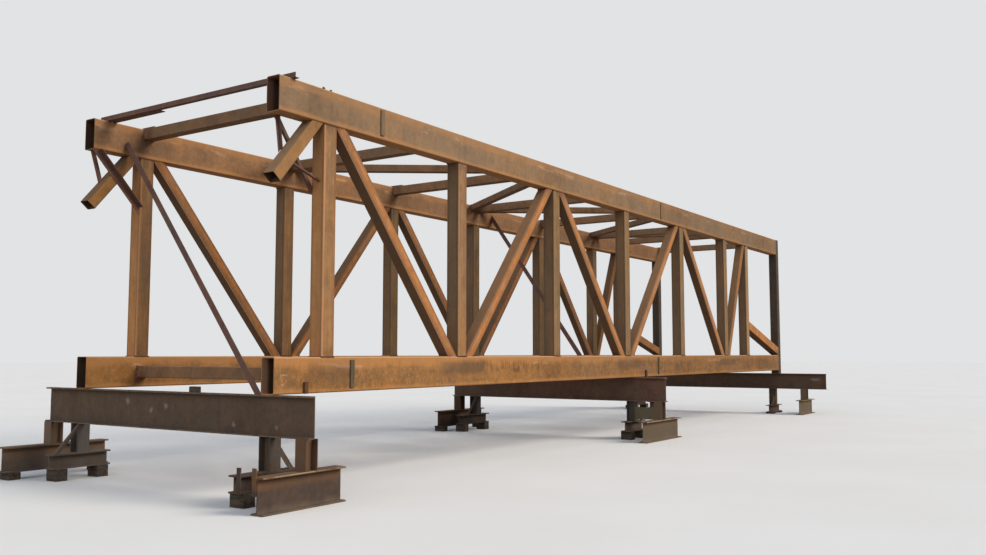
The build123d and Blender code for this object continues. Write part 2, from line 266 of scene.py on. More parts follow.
def rusty(name, orange, brown, grey, marks=None, grey_share=0.45, run_share=0.16):
    """Weathered steel: brown rust, orange bloom, thin grey scale, faint rain runs, fine pits and painted
    shade on the undersides.
    """
    f = Finish(name)
    broad = f.noise(0.8, 3.0, 0.5, distortion=0.5)
    cloud = f.noise(3.4, 4.0, 0.55, distortion=0.4)
    mottle = f.noise(17.0, 5.0, 0.62)
    fine = f.noise(85.0, 5.0, 0.66)
    grit = f.noise(300.0, 3.0, 0.6)
    runs = f.noise(30.0, 3.0, 0.5, f.stretched(z=0.04))
    blots = f.noise(8.0, 4.0, 0.6, f.stretched(z=0.6), 0.5)
    bloom = (0.42 * cloud + 0.33 * mottle + 0.25 * fine).ramp(0.32, 0.68)
    colour = f.mix(bloom, brown, orange)
    scale = (0.65 * broad + 0.35 * mottle).ramp(0.42, 0.62) * grey_share
    colour = f.mix(scale, colour, grey)
    colour = f.shade(runs.ramp(0.5, 0.72) * (1 - f.face_z) * run_share, colour, 0.72)
    colour = f.shade(blots.ramp(0.5, 0.6) * 0.32, colour, 0.74)
    colour = f.mix(blots.ramp(0.44, 0.34) * mottle.ramp(0.45, 0.6) * 0.35, colour, orange)
    # Painted shade: the undersides are darker
    colour = f.shade(f.up.ramp(-0.2, -0.75) * 0.55, colour, 0.5)
    if marks:
        colour = marks(f, colour)
    colour = f.shade(fine.ramp(0.48, 0.72) * 0.4, colour, 0.7)
    colour = f.shade(grit.ramp(0.6, 0.72) * 0.45, colour, 0.5)
    roughness = 0.74 + 0.24 * fine - 0.14 * scale
    height = 0.5 * fine + 0.25 * grit + 0.35 * mottle
    return f.done(colour, roughness, height, RUST_RELIEF, 0.15 * scale)


def at(signal, place, reach, soft):
    """1 within a reach of a place along one axis, with soft sides."""
    return abs(signal - place).ramp(reach + soft, reach - soft)


def ridge(facing):
    """1 on the rounded corners of a tube whose faces look along one axis or square to it."""
    return at(facing, 0.62, 0.24, 0.1)


def wall_mask(signal, middle, half, wall):
    """1 inside a hollow section's walls along one axis, up to the middle of each wall."""
    return at(signal, middle, half - wall / 2, 0.001)


def burnt_ends(f):
    """1 near the chords, where the welds have burnt a post or a diagonal."""
    low = f.z.ramp(web_bottom + 0.2, web_bottom)
    high = f.z.ramp(web_top - 0.24, web_top)
    return low.larger(high)


def from_end(f, low, high):
    """Smooth rise from 0 to 1 between two distances from the open end. It falls where low is larger."""
    return (f.x - open_end).ramp(low, high)


def chord_speckles(f, colour, level, blotch, patches, grey, fleck_share):
    """Grey core, bright and dark flecks, broad stains, and fine strokes and streaks on the sides."""
    core = abs(level).ramp(0.95, 0.2) * (0.4 * blotch + 0.6 * patches).ramp(0.42, 0.6)
    colour = f.mix(core * 0.27, colour, grey)
    flecks = 0.5 * f.noise(21.0, 4.0, 0.6, f.stretched(z=0.7), 0.5)
    flecks = flecks + 0.5 * f.noise(62.0, 4.0, 0.65, f.stretched(z=0.5))
    colour = f.shade(flecks.ramp(0.5, 0.61) * fleck_share, colour, 0.6)
    colour = f.mix(flecks.ramp(0.48, 0.39) * fleck_share, colour, BLOOM)
    stain = (0.5 * f.noise(5.0, 5.0, 0.7, f.stretched(x=0.7), 0.6) + 0.5 * patches).ramp(0.52, 0.62)
    colour = f.shade(stain * (0.15 + fleck_share), colour, 0.66)
    strokes = f.noise(48.0, 3.0, 0.6, f.stretched(z=0.12)).ramp(0.58, 0.68)
    colour = f.shade(strokes * patches.ramp(0.45, 0.6) * f.face_y * fleck_share, colour, 0.6)
    streaks = f.noise(40.0, 3.0, 0.6, f.stretched(x=0.06)).ramp(0.6, 0.7)
    return f.shade(streaks * f.face_y * 0.25, colour, 0.65)


def chord_bands(f, colour, level, blotch, crest_share):
    """Dark patches round the nodes, plates of other tone, and orange along the crest and the foot."""
    drift = f.noise(2.4, 4.0, 0.55, f.stretched(z=0.4)) - 0.5
    from_node = (f.x - post_places[0]).sawtooth(bay)
    near_node = from_node.ramp(0.42, 0.3) + (from_node + 0.6 * drift).ramp(0.75, 0.45)
    colour = f.shade(near_node * blotch.ramp(0.25, 0.7) * 0.35, colour, 0.62)
    plates = f.noise(0.9, 2.0, 0.4, f.stretched(y=0.0, z=0.0)).ramp(0.49, 0.505)
    colour = f.shade(plates * 0.3, colour, 0.78)
    crest = (level + 1.5 * drift).ramp(0.15, 0.78) * (0.45 + 0.55 * from_end(f, 14.0, 4.0))
    colour = f.mix(crest * crest_share, colour, BLOOM)
    foot = (level + 0.5 * drift).ramp(-0.62, -0.9)
    colour = f.mix(foot * 0.5, colour, BLOOM)
    smear = f.noise(7.0, 4.0, 0.6, f.stretched(x=0.3, z=1.6)).ramp(0.56, 0.66)
    colour = f.mix(smear * at(level, 0.5, 0.1, 0.25) * 0.4, colour, PALE_SMEAR_AND_HIGHLIGHT)
    seam = at(level + 0.7 * drift, 0.38, 0.03, 0.1) * blotch.ramp(0.35, 0.6)
    return f.shade(seam * 0.3, colour, 0.6)


def chord_mouth(f, colour, middle, half):
    """Dull hollow, lit just inside the open end of the right truss."""
    width = (outer_face - inner_face) / 2
    hollow = wall_mask(abs(f.y), truss_line, width, CHORD_WALL) * wall_mask(f.z, middle, half, CHORD_WALL)
    lit = f.mix(f.z.ramp(web_bottom, web_top), LIT_HOLLOW, LIT_UPPER_HOLLOW)
    tone = f.mix(from_end(f, 0.12, 0.06) * f.y.ramp(0.5, -0.5), HOLLOW, lit)
    return f.mix(hollow * 0.94, colour, tone)


def chord_marks(low, high, grey, crest_share, fleck_share, more=None):
    """Painter of a chord between two heights. Its level is -1 at the foot and 1 at the crest."""
    middle = (low + high) / 2
    half = (high - low) / 2

    def paint(f, colour):
        level = (f.z - middle) / half
        blotch = f.noise(1.3, 4.0, 0.6, f.stretched(y=0.6, z=0.5))
        patches = f.noise(9.0, 5.0, 0.65, f.stretched(z=0.8), 0.4)
        colour = chord_speckles(f, colour, level, blotch, patches, grey, fleck_share)
        colour = chord_bands(f, colour, level, blotch, crest_share)
        if more:
            colour = more(f, colour, level)
        colour = f.shade(from_end(f, 3.0, 15.0) * 0.75, colour, 0.72)
        # Painted highlight along the upper rounded corners of the chord
        colour = f.mix(ridge(f.face_y) * level.ramp(0.6, 0.9) * 0.75, colour, PALE_SMEAR_AND_HIGHLIGHT)
        return chord_mouth(f, colour, middle, half)

    return paint


def lower_marks(f, colour, level):
    """Short rain drips below the upper edge, and stains beside the lower nodes."""
    past_node = (f.x - post_places[1]).repeat(2 * bay)
    drips = f.noise(30.0, 2.0, 0.5, f.stretched(y=0.2, z=0.1)).ramp(0.5, 0.6)
    drips = drips * past_node.ramp(0.1, 0.4) * past_node.ramp(2.6, 1.8)
    drips = drips * at(level, 0.38, 0.3, 0.22) * from_end(f, 3.2, 3.4)
    colour = f.shade(drips * f.face_y * 0.6, colour, 0.5)
    stain = past_node.ramp(0.62, 0.45) + past_node.ramp(2 * bay - 0.6, 2 * bay - 0.35)
    return f.mix(stain * at(level, 0.25, 0.4, 0.2) * 0.6, colour, NODE_STAIN)


# Marks on the outer face of the right chords, by their distance from the open end
SMUDGE_PLACE = 0.87
SCRATCH_PLACE = 2.07
SCORCH_PLACE = 4.78
BUTT_WELD_PLACE = 3.31
GROUND_WELD_PLACE = 3.27

# Chalk strokes: distance from the open end, height over the seat, half length and half height
CHALK_STROKES = (
    (0.105, 0.214, 0.010, 0.010),
    (0.155, 0.213, 0.032, 0.009),
    (0.128, 0.110, 0.020, 0.014),
    (4.726, 0.018, 0.030, 0.012),
    (5.178, 0.018, 0.036, 0.012),
)


def chalk_marks(f, colour, level):
    """Lower marks, a smudge, two dark scars and chalk strokes on the right bottom chord."""
    colour = lower_marks(f, colour, level)
    along = f.x - open_end
    wobble = f.noise(40.0, 2.0) * 0.012
    outer = f.y.ramp(-outer_face + 0.004, -outer_face + 0.001)
    smudge = at(along + 3 * wobble, SMUDGE_PLACE, 0.36, 0.03) * at(level, 0.15, 0.5, 0.3)
    colour = f.mix(smudge * outer * 0.38, colour, SMUDGE_BROWN)
    scratch = at(along + 0.2 * wobble, SCRATCH_PLACE, 0.004, 0.006) * at(level, 0.45, 0.25, 0.1)
    scorch = at(along, SCORCH_PLACE, 0.085, 0.03) * at(level, -0.08, 0.16, 0.12)
    colour = f.shade((scratch + scorch) * outer * 0.6, colour, 0.45)
    for place, height, reach, thick in CHALK_STROKES:
        stroke = at(along + wobble, place, reach, 0.006) * at(f.z - seat + wobble, height, thick, 0.005)
        colour = f.mix(stroke * outer * f.noise(90.0, 3.0).ramp(0.4, 0.6) * 0.7, colour, CHALK)
    return colour


def upper_marks(f, colour, level):
    """A butt weld with a pale ground spot, on the outer face of the top chord."""
    along = f.x - open_end
    line = at(along, BUTT_WELD_PLACE, 0.006, 0.01) * level.ramp(0.8, 0.6)
    colour = f.shade(line * f.face_y * 0.6, colour, 0.5)
    spot = at(along, GROUND_WELD_PLACE, 0.05, 0.05) * at(level, 0.55, 0.1, 0.15)
    return f.mix(spot * f.noise(30.0, 3.0).ramp(0.4, 0.6) * f.face_y * 0.6, colour, GROUND_WELD)


def post_marks_and_light(side_shade_tone, inner_shade_tone):
    """Painter of the posts, with a painted highlight along a corner, painted shade on the end sides after
    the first post and on the faces towards the walkway, and painted light on the end sides of the first
    post.
    """

    def paint(f, colour):
        colour = f.mix(burnt_ends(f) * f.noise(7.0, 4.0).ramp(0.35, 0.65) * 0.45, colour, BURNT)
        slow = f.noise(9.0, 3.0, 0.5, f.stretched(z=0.06))
        colour = f.mix(slow.ramp(0.5, 0.62) * 0.35, colour, STRIPE_BROWN)
        stripes = f.noise(55.0, 4.0, 0.6, f.stretched(z=0.03))
        stripes = 0.6 * stripes + 0.4 * f.noise(14.0, 4.0, 0.6, f.stretched(z=0.5))
        colour = f.shade(stripes.ramp(0.48, 0.62) * 0.4, colour, 0.7)
        colour = f.mix(stripes.ramp(0.47, 0.38) * 0.45, colour, BLOOM)
        depth = abs(f.y) - truss_line
        dull = at(abs(depth), post_half - 0.022, 0.010, 0.014) * f.face_x
        colour = f.mix(dull * 0.65, colour, DULL_EDGE)

        beside = (f.x - post_places[0] + bay / 2).repeat(bay) - bay / 2
        warm = beside.ramp(post_half - 0.055, post_half - 0.012) * f.face_y
        colour = f.mix(warm * 0.5, colour, WARM_EDGE)
        # Painted highlight along the rounded corner between the outer face and the end side, and on the
        # outer face beside it
        line = beside.ramp(-post_half + 0.034, -post_half + 0.010) * f.face_y * 0.5
        rim = (ridge(f.face_y) * f.east.ramp(-0.2, -0.4) * 0.8).larger(line)
        colour = f.mix(rim * (0.4 + 0.6 * slow.ramp(0.35, 0.6)), colour, SOFT_HIGHLIGHT)

        # Painted shade on the end sides of the posts after the first, and painted light on those of the
        # first post
        past_first = (f.x - post_places[0]).ramp(0.6, 2.0)
        colour = f.mix(f.face_x * past_first * 0.3, colour, GREY_SHADED_SIDE)
        colour = f.shade(f.face_x * past_first, colour, side_shade_tone)
        colour = f.mix(f.face_x * (1 - past_first) * 0.3, colour, FIRST_SIDE_LIT)
        colour = f.shade(f.face_x * (1 - past_first), colour, 1.2)
        past_second = (f.x - post_places[1]).ramp(0.6, 2.0) * f.face_y
        colour = f.mix(past_second * 0.33, colour, LATER_OLIVE)
        # Painted shade on the faces towards the walkway
        return f.shade(f.face_y * depth.ramp(0.01, -0.01), colour, inner_shade_tone)

    return paint


def slanting_tube(name, low, high):
    """Upper normal, middle, half depth and half width of the slanting tube between two places on X."""
    mesh = nodes[name].data
    upper = [p for p in mesh.polygons if abs(p.normal.y) < 0.1 and p.normal.z > 0.1]
    normal = max((p for p in upper if low < p.center.x < high), key=lambda p: p.area).normal.copy()
    points = [v.co for v in mesh.vertices if low < v.co.x < high]
    reach = [p.dot(normal) for p in points]
    width = max(abs(p.y) for p in points) - truss_line
    return normal, (max(reach) + min(reach)) / 2, (max(reach) - min(reach)) / 2, width


def slant_tones_and_shade(f, colour, under_shade_tone, inner_shade_tone):
    """Burnt ends and dull upper sides of a slanting tube, with painted shade on its undersides, on its upper
    sides on the left, and on its faces towards the walkway.
    """
    colour = f.mix(burnt_ends(f) * f.noise(7.0, 4.0).ramp(0.3, 0.6) * 0.5, colour, BURNT)
    upper = f.up.ramp(0.15, 0.35)
    colour = f.mix(upper * 0.6, colour, SLANT_TOP)
    # Painted shade on the upper sides on the left
    colour = f.shade(upper * f.y.ramp(-0.5, 0.5), colour, 0.62)
    # Painted shade on the undersides
    under = f.up.ramp(-0.1, -0.4)
    colour = f.mix(under * 0.65, colour, SLANT_UNDER_SHADE)
    colour = f.shade(under, colour, under_shade_tone)
    # Painted shade on the faces towards the walkway
    return f.shade(f.face_y * (abs(f.y) - truss_line).ramp(0.01, -0.01), colour, inner_shade_tone)


def brace_tones_and_shade(f, colour):
    """Tones and painted shade of the diagonals and of the low braces."""
    return slant_tones_and_shade(f, colour, 0.72, 0.75)


def diagonal_marks_and_light(f, colour):
    """Dull edges, light middle and a painted highlight on the under-corner of a diagonal. The bays mirror
    each other.
    """
    normal, middle, half, _ = slanting_tube("right_diagonals", post_places[0], post_places[1])
    folded = (f.x - post_places[0]).sawtooth(bay) + post_places[0]
    across = folded * normal.x + f.z * normal.z - middle
    edges = abs(across).ramp(half - 0.04, half - 0.01) * f.face_y
    colour = f.mix(edges * 0.5, colour, SLANT_EDGE)
    middle_band = at(across, 0.012, 0.012, 0.02) * f.face_y * f.noise(7.0, 4.0, 0.6).ramp(0.35, 0.6)
    colour = f.mix(middle_band * 0.55, colour, SLANT_MIDDLE)
    colour = f.mix(f.noise(4.0, 4.0, 0.6).ramp(0.5, 0.62) * f.face_y * 0.4, colour, SLANT_SCALE)
    colour = brace_tones_and_shade(f, colour)
    # Painted highlight on the rounded corner under the outer face
    corner = ridge(f.face_y) * f.up.ramp(-0.1, -0.25) * f.east.ramp(-0.1, -0.25)
    return f.mix(corner * 0.8, colour, SLANT_RIM_HIGHLIGHT)


def stub_marks_and_shade(f, colour):
    """Tones and painted shade of a diagonal, and the dark hollow that a cut end shows."""
    colour = slant_tones_and_shade(f, colour, 0.85, 0.8)
    normal, middle, half, width = slanting_tube("stub_diagonals", open_end - 1.0, post_places[0])
    hollow = wall_mask(f.x * normal.x + f.z * normal.z, middle, half, TUBE_WALL)
    hollow = hollow * wall_mask(abs(f.y), truss_line, width, TUBE_WALL)
    return f.mix(hollow * 0.9, colour, HOLLOW)


def strap_marks(f, colour):
    """The upper straps are nearly as light as the chord behind them."""
    return f.mix(f.z.ramp(web_top - 0.5, web_top) * 0.55, colour, STRAP_LIGHT)


def cross_marks(f, colour):
    """Reddish heat tint near the ends of a cross beam."""
    end = abs(f.y).ramp(inner_face - 0.26, inner_face - 0.1)
    return f.mix(end * f.noise(8.0, 3.0).ramp(0.3, 0.6) * 0.6, colour, HEAT_TINT)


# Pale splashes on a girder's web: place on Y, height from the girder's top, reach and flatness
FIRST_SPLASHES = (
    (0.813, -0.124, 0.055, 1.0),
    (0.363, -0.222, 0.030, 1.0),
    (0.085, -0.167, 0.055, 1.0),
    (-1.098, -0.338, 0.050, 1.0),
    (-1.764, -0.342, 0.045, 1.0),
)
LAST_SPLASHES = ((-2.68, -0.15, 0.19, 3.5),)


def girder_marks(name, splashes):
    """Painter of a girder: light flange edges, soft pale splashes and a darker lower web."""
    low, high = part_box(name)

    def paint(f, colour):
        edge = at(f.z, high.z, 0.012, 0.008).larger(at(f.z, low.z, 0.012, 0.008)) * f.face_x
        colour = f.mix(edge * f.noise(9.0, 3.0).ramp(0.3, 0.6) * 0.6, colour, FLANGE_EDGE)
        for place, height, reach, flatness in splashes:
            across = f.y - place
            above = (f.z - (high.z + height)) * flatness
            gap = (across * across + above * above).root() + 0.12 * (f.noise(11.0, 4.0, 0.65) - 0.5)
            colour = f.mix(gap.ramp(reach, 0.0) * f.face_x * 0.5, colour, SPLASH)
        lower = f.z.ramp(high.z - 0.02, low.z + 0.03) * f.face_x
        return f.shade(lower * f.noise(2.6, 5.0, 0.65).ramp(0.35, 0.6) * 0.35, colour, 0.7)

    return paint


def ground_dust_and_light(f, colour):
    """Pale soil on what stands near the ground, the tones of the legs from place to place, painted shadow of
    the bridge on the far left ones and painted light on the near left ones.
    """
    outer_leg = abs(f.y).ramp(1.95, 2.1) * f.z.ramp(0.2, 0.3) * f.noise(5.0, 3.0, 0.5, f.stretched(z=0.2))
    colour = f.mix(outer_leg, colour, RED_SOIL)
    raker = abs(f.up).ramp(0.1, 0.25) * abs(f.up).ramp(0.97, 0.9)
    colour = f.mix(raker * 0.8, colour, RAKER_BROWN)
    far = from_end(f, 4.0, 7.0)
    # Painted shadow of the bridge on the far left trestles
    colour = f.shade(far * f.y.ramp(-1.0, 0.5), colour, 0.55)
    colour = f.mix(far * f.y.ramp(-1.6, -1.9) * 0.45, colour, FAR_OLIVE)
    # Painted light on the near left bearers and legs
    near_left_lit = from_end(f, 7.0, 4.0) * f.y.ramp(0.5, 1.5) * (1 - raker)
    colour = f.shade(near_left_lit, f.mix(near_left_lit * 0.4, colour, NEAR_LEFT_LIT_BROWN), 1.4)
    foot = (f.z + 0.14 * f.noise(6.0, 4.0)).ramp(0.17, 0.03)
    top = f.up.ramp(0.5, 0.9) * f.z.ramp(0.5, 0.3) * f.noise(5.0, 4.0).ramp(0.4, 0.6) * 0.6
    return f.mix(foot.larger(top) * 0.5, colour, DUST)


def bearer_marks(f, colour):
    """Soil, painted shadow and painted light as on the legs, and the light edge of the top flange of the
    right outer bearers.
    """
    corners = nodes["first_trestle_bearers"].data.vertices
    top = max(v.co.z for v in corners if v.co.y < -outer_face)
    colour = ground_dust_and_light(f, colour)
    rim = at(f.z, top - 0.006, 0.006, 0.004) * f.face_y * f.y.ramp(-1.6, -1.9)
    return f.mix(rim * f.noise(6.0, 3.0).ramp(0.35, 0.55) * 0.7, colour, BEARER_RIM)


GIRDER_RUNS = 0.04


def girder_finish(name, node_name, colours, splashes=()):
    """Old steel of one trestle's girder, with hardly a rain run."""
    return rusty(name, *colours, girder_marks(node_name, splashes), run_share=GIRDER_RUNS)


def timber():
    """Dark weathered timber with soil on it and its grain along the block."""
    f = Finish("weathered_timber")
    grain = f.noise(26.0, 6.0, 0.6, f.stretched(y=0.12), 0.6)
    soil = f.noise(3.0, 3.0)
    colour = f.mix(grain.ramp(0.35, 0.65), srgb(60, 50, 42), srgb(98, 84, 68))
    colour = f.mix(soil.ramp(0.4, 0.7) * 0.5, colour, srgb(82, 72, 62))
    return f.done(colour, 0.8 + 0.15 * grain, grain, 0.003)


# Bloom, body and scale colours of the steel that several pieces share
CHORD = (srgb(190, 128, 66), srgb(148, 103, 57), srgb(124, 102, 74))
RIGHT_UPPER = (srgb(184, 138, 92), srgb(148, 115, 82), srgb(142, 120, 94))
LEFT_UPPER = (srgb(176, 124, 78), srgb(136, 98, 68), srgb(136, 110, 84))
POST = (srgb(194, 138, 84), srgb(154, 112, 72), srgb(134, 114, 90))
SLANT = (srgb(212, 138, 72), srgb(166, 108, 60), SCALE_GREY)
GIRDER = (srgb(116, 91, 70), srgb(92, 72, 56), srgb(100, 87, 73))
MIDDLE_GIRDER = (srgb(128, 94, 74), srgb(98, 71, 56), srgb(112, 92, 76))
LAST_GIRDER = (srgb(112, 86, 66), srgb(88, 66, 50), srgb(100, 86, 71))

lower_right_marks = chord_marks(seat, web_bottom, SCALE_GREY, 0.66, 0.55, chalk_marks)
lower_left_marks = chord_marks(seat, web_bottom, SCALE_GREY, 0.66, 0.45, lower_marks)
upper_right_marks = chord_marks(web_top, roof, srgb(142, 118, 92), 0.35, 0.2, upper_marks)
upper_left_marks = chord_marks(web_top, roof, srgb(134, 106, 80), 0.35, 0.22)

finish = {
    "lower_right": rusty("rusty_bottom_chord_marked", *CHORD, lower_right_marks),
    "lower_left": rusty("rusty_bottom_chord", *CHORD, lower_left_marks),
    "upper_right": rusty("rusty_top_chord_marked", *RIGHT_UPPER, upper_right_marks, 0.6),
    "upper_left": rusty("rusty_top_chord", *LEFT_UPPER, upper_left_marks),
    "right_post": rusty("rusty_right_post", *POST, post_marks_and_light(0.58, 0.75), 0.35),
    "left_post": rusty("rusty_left_post", *POST, post_marks_and_light(0.6, 0.66), 0.35),
    "diagonal": rusty("rusty_diagonal", *SLANT, diagonal_marks_and_light, 0.3),
    "brace": rusty("rusty_low_brace", *SLANT, brace_tones_and_shade, 0.3),
    "stub": rusty("rusty_stub", srgb(196, 138, 80), srgb(160, 112, 66), srgb(142, 110, 76), stub_marks_and_shade, 0.4),
    "cross": rusty("rusty_cross_beam", srgb(168, 122, 80), srgb(122, 92, 68), SCALE_GREY, cross_marks),
    "plan": rusty("rusty_plan_brace", srgb(150, 106, 68), srgb(104, 76, 54), SCALE_GREY),
    "end_post": rusty("rusty_end_post", srgb(94, 77, 60), srgb(70, 58, 46), srgb(78, 71, 61)),
    "angle": rusty("dark_rusty_angle", srgb(140, 98, 78), srgb(102, 74, 62), srgb(98, 84, 76)),
    "strap": rusty("grey_brown_strap", srgb(120, 99, 70), srgb(98, 80, 57), srgb(104, 91, 68), strap_marks),
    "plate": rusty("old_plate_steel", srgb(126, 112, 84), srgb(98, 86, 64), srgb(106, 100, 80)),
    "cleat": rusty("brown_cleat", srgb(118, 80, 48), srgb(88, 60, 38), srgb(94, 74, 52)),
    "girder": girder_finish("old_girder_steel", "first_trestle_girder", GIRDER, FIRST_SPLASHES),
    "middle_girder": girder_finish("old_middle_girder_steel", "middle_trestle_girder", MIDDLE_GIRDER),
    "last_girder": girder_finish("old_last_girder_steel", "last_trestle_girder", LAST_GIRDER, LAST_SPLASHES),
    "leg": rusty("old_leg_steel", srgb(108, 84, 60), srgb(78, 66, 54), srgb(78, 77, 76), ground_dust_and_light, 0.7),
    "bearer": rusty("old_bearer_steel", srgb(100, 78, 62), srgb(78, 62, 52), srgb(88, 78, 70), bearer_marks),
    "weld": rusty("rusty_weld", srgb(140, 92, 58), srgb(88, 62, 48), srgb(96, 86, 80)),
    "timber": timber(),
}

# Finish of each node by the words in its name, the first that fits
FINISH_OF = (
    ("right_bottom_chord", "lower_right"), ("left_bottom_chord", "lower_left"),
    ("right_top_chord", "upper_right"), ("left_top_chord", "upper_left"),
    ("end_post", "end_post"), ("right_post", "right_post"), ("left_post", "left_post"),
    ("stub_diagonals", "stub"), ("diagonals", "diagonal"), ("end_bay_braces", "brace"),
    ("cross_beams", "cross"), ("plan_braces", "plan"), ("first_trestle_girder", "girder"),
    ("middle_trestle_girder", "middle_girder"), ("last_trestle_girder", "last_girder"),
    ("leg_plate", "plate"), ("leg", "leg"), ("bearer", "bearer"), ("stop_cleats", "cleat"),
    ("packing_blocks", "timber"), ("", "angle"),
)
for name, node in nodes.items():
    key = next(key for words, key in FINISH_OF if words in name)
    node.data.materials.clear()
    node.data.materials.append(finish[key])


def mesh_of(name, bm):
    """Turn a bmesh into a mesh."""
    mesh = bpy.data.meshes.new(name)
    bm.to_mesh(mesh)
    bm.free()
    return mesh


def placed(name, data):
    """Object with this mesh, lamp or camera, put into the scene."""
    made = bpy.data.objects.new(name, data)
    bpy.context.scene.collection.objects.link(made)
    return made


MERGE_DISTANCE = 0.00005


def piece(name, bm, key):
    """Turn a bmesh into a piece of the object that rides on its body."""
    bmesh.ops.remove_doubles(bm, verts=bm.verts, dist=MERGE_DISTANCE)
    bmesh.ops.recalc_face_normals(bm, faces=bm.faces)
    mesh = mesh_of(name, bm)
    mesh.materials.append(finish[key])
    shape = placed(name, mesh)
    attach(shape, "root")


# Weld beads: radii in metres, and how far the middle lies out of the corner, in radii
TRUSS_BEAD = 0.0075
SMALL_BEAD = 0.0055
BEAD_RISE = 0.35
BEAD_STEPS = 12
BEAD_SIDES = 6
BEAD_SHAPES = 4


def bead_shape(radius):
    """Rippled weld bead of unit length along X, in the corner between the XY and XZ planes."""
    bm = bmesh.new()
    middle = Vector((0, radius * BEAD_RISE, radius * BEAD_RISE))
    ring = bmesh.ops.create_circle(bm, segments=BEAD_SIDES, radius=radius)["verts"]
    turn = Matrix.Rotation(math.radians(90), 3, "Y")
    bmesh.ops.rotate(bm, verts=ring, cent=(0, 0, 0), matrix=turn)
    bmesh.ops.translate(bm, verts=ring, vec=middle)
    edges = list(bm.edges)
    bmesh.ops.contextual_create(bm, geom=edges)
    before = 1.0
    for step in range(BEAD_STEPS):
        made = bmesh.ops.extrude_edge_only(bm, edges=edges)["geom"]
        edges = [e for e in made if isinstance(e, bmesh.types.BMEdge)]
        ring = [v for v in made if isinstance(v, bmesh.types.BMVert)]
        swell = random.uniform(0.95, 1.25) if step % 2 else random.uniform(0.75, 0.95)
        bmesh.ops.translate(bm, verts=ring, vec=(1 / BEAD_STEPS, 0, 0))
        space = Matrix.Translation(-middle)
        bmesh.ops.scale(bm, verts=ring, vec=(1, swell / before, swell / before), space=space)
        before = swell
    bmesh.ops.contextual_create(bm, geom=edges)
    bmesh.ops.recalc_face_normals(bm, faces=bm.faces)
    return mesh_of("bead_shape", bm)


def lay_bead(bm, shape, start, end, out, up):
    """Bead from start to end, in the corner that opens towards out and up."""
    axes = Matrix((end - start, out, up)).transposed().to_4x4()
    known = len(bm.verts)
    bm.from_mesh(shape)
    bm.verts.ensure_lookup_table()
    bmesh.ops.transform(bm, matrix=Matrix.Translation(start) @ axes, verts=bm.verts[known:])


def ring_of_beads(bm, shapes, axis, level, facing, box):
    """Four beads round a foot on a plane. The box is the foot's range on the other two axes."""
    first, second = [i for i in range(3) if i != axis]
    (a_low, a_high), (b_low, b_high) = box

    def vector(on_axis, on_first, on_second):
        made = Vector((0.0, 0.0, 0.0))
        made[axis], made[first], made[second] = on_axis, on_first, on_second
        return made

    up = vector(facing, 0, 0)
    for a, sign in ((a_low, -1), (a_high, 1)):
        start, end = vector(level, a, b_low), vector(level, a, b_high)
        lay_bead(bm, random.choice(shapes), start, end, vector(0, sign, 0), up)
    for b, sign in ((b_low, -1), (b_high, 1)):
        start, end = vector(level, a_low, b), vector(level, a_high, b)
        lay_bead(bm, random.choice(shapes), start, end, vector(0, 0, sign), up)


# Feet of one node are at least this far apart
FOOT_GAP = 0.1


def feet(name, axis, level):
    """Ranges on X and on the other axis of the feet that a node sets on a plane."""
    other_axis = 3 - axis
    corners = [v.co for v in nodes[name].data.vertices if abs(v.co[axis] - level) < 0.0005]
    groups = []
    for x, other in sorted((c.x, c[other_axis]) for c in corners):
        if not groups or x - groups[-1][-1][0] > FOOT_GAP:
            groups.append([])
        groups[-1].append((x, other))
    return [((g[0][0], g[-1][0]), (min(p[1] for p in g), max(p[1] for p in g))) for g in groups]


truss_beads = [bead_shape(TRUSS_BEAD) for _ in range(BEAD_SHAPES)]
small_beads = [bead_shape(SMALL_BEAD) for _ in range(BEAD_SHAPES)]

# Welds round the posts and diagonals
for side_name in SIDE_NAMES:
    bm = bmesh.new()
    for i in POSTS:
        low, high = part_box("%s_post_%d" % (side_name, i))
        box = ((low.x, high.x), (low.y, high.y))
        ring_of_beads(bm, truss_beads, 2, web_bottom, 1, box)
        ring_of_beads(bm, truss_beads, 2, web_top, -1, box)
    for level, facing in ((web_bottom, 1), (web_top, -1)):
        for box in feet(side_name + "_diagonals", 2, level):
            ring_of_beads(bm, truss_beads, 2, level, facing, box)
    piece(side_name + "_truss_welds", bm, "weld")

# Welds round the ends of what crosses from chord to chord
for name in ("top_cross_beams", "floor_cross_beams", "top_plan_braces", "floor_plan_braces"):
    bm = bmesh.new()
    for side in (LEFT, RIGHT):
        for box in feet(name, 1, side * inner_face):
            ring_of_beads(bm, small_beads, 1, side * inner_face, -side, box)
    piece(name.rsplit("_", 1)[0] + "_welds", bm, "weld")


STEEL_BEVEL = 0.003
THIN_BEVEL = 0.002
TIMBER_BEVEL = 0.006


def plate(bm, low, high, bevel):
    """Bevelled flat bar between two corners."""
    made = bmesh.ops.create_cube(bm, size=1.0)["verts"]
    size = [h - l for l, h in zip(low, high)]
    middle = [(h + l) / 2 for l, h in zip(low, high)]
    bmesh.ops.scale(bm, verts=made, vec=size)
    bmesh.ops.translate(bm, verts=made, vec=middle)
    edges = {e for v in made for e in v.link_edges}
    bmesh.ops.bevel(bm, geom=list(edges), offset=bevel, segments=2, profile=0.5, affect="EDGES", material=-1)


# Straps over the splices of the right truss: place from the open end, and height range on the face
STRAPS = (
    (1.165, seat + 0.045, seat + 0.365),
    (1.660, web_top + 0.050, web_top + 0.370),
    (9.897, seat + 0.045, seat + 0.365),
    (10.116, web_top + 0.050, web_top + 0.370),
)
STRAP_WIDTH = 0.062
STRAP_THICKNESS = 0.02

bm = bmesh.new()
for place, low, high in STRAPS:
    x = open_end + place
    plate(bm, (x, -outer_face - STRAP_THICKNESS, low), (x + STRAP_WIDTH, -outer_face, high), STEEL_BEVEL)
piece("splice_straps", bm, "strap")

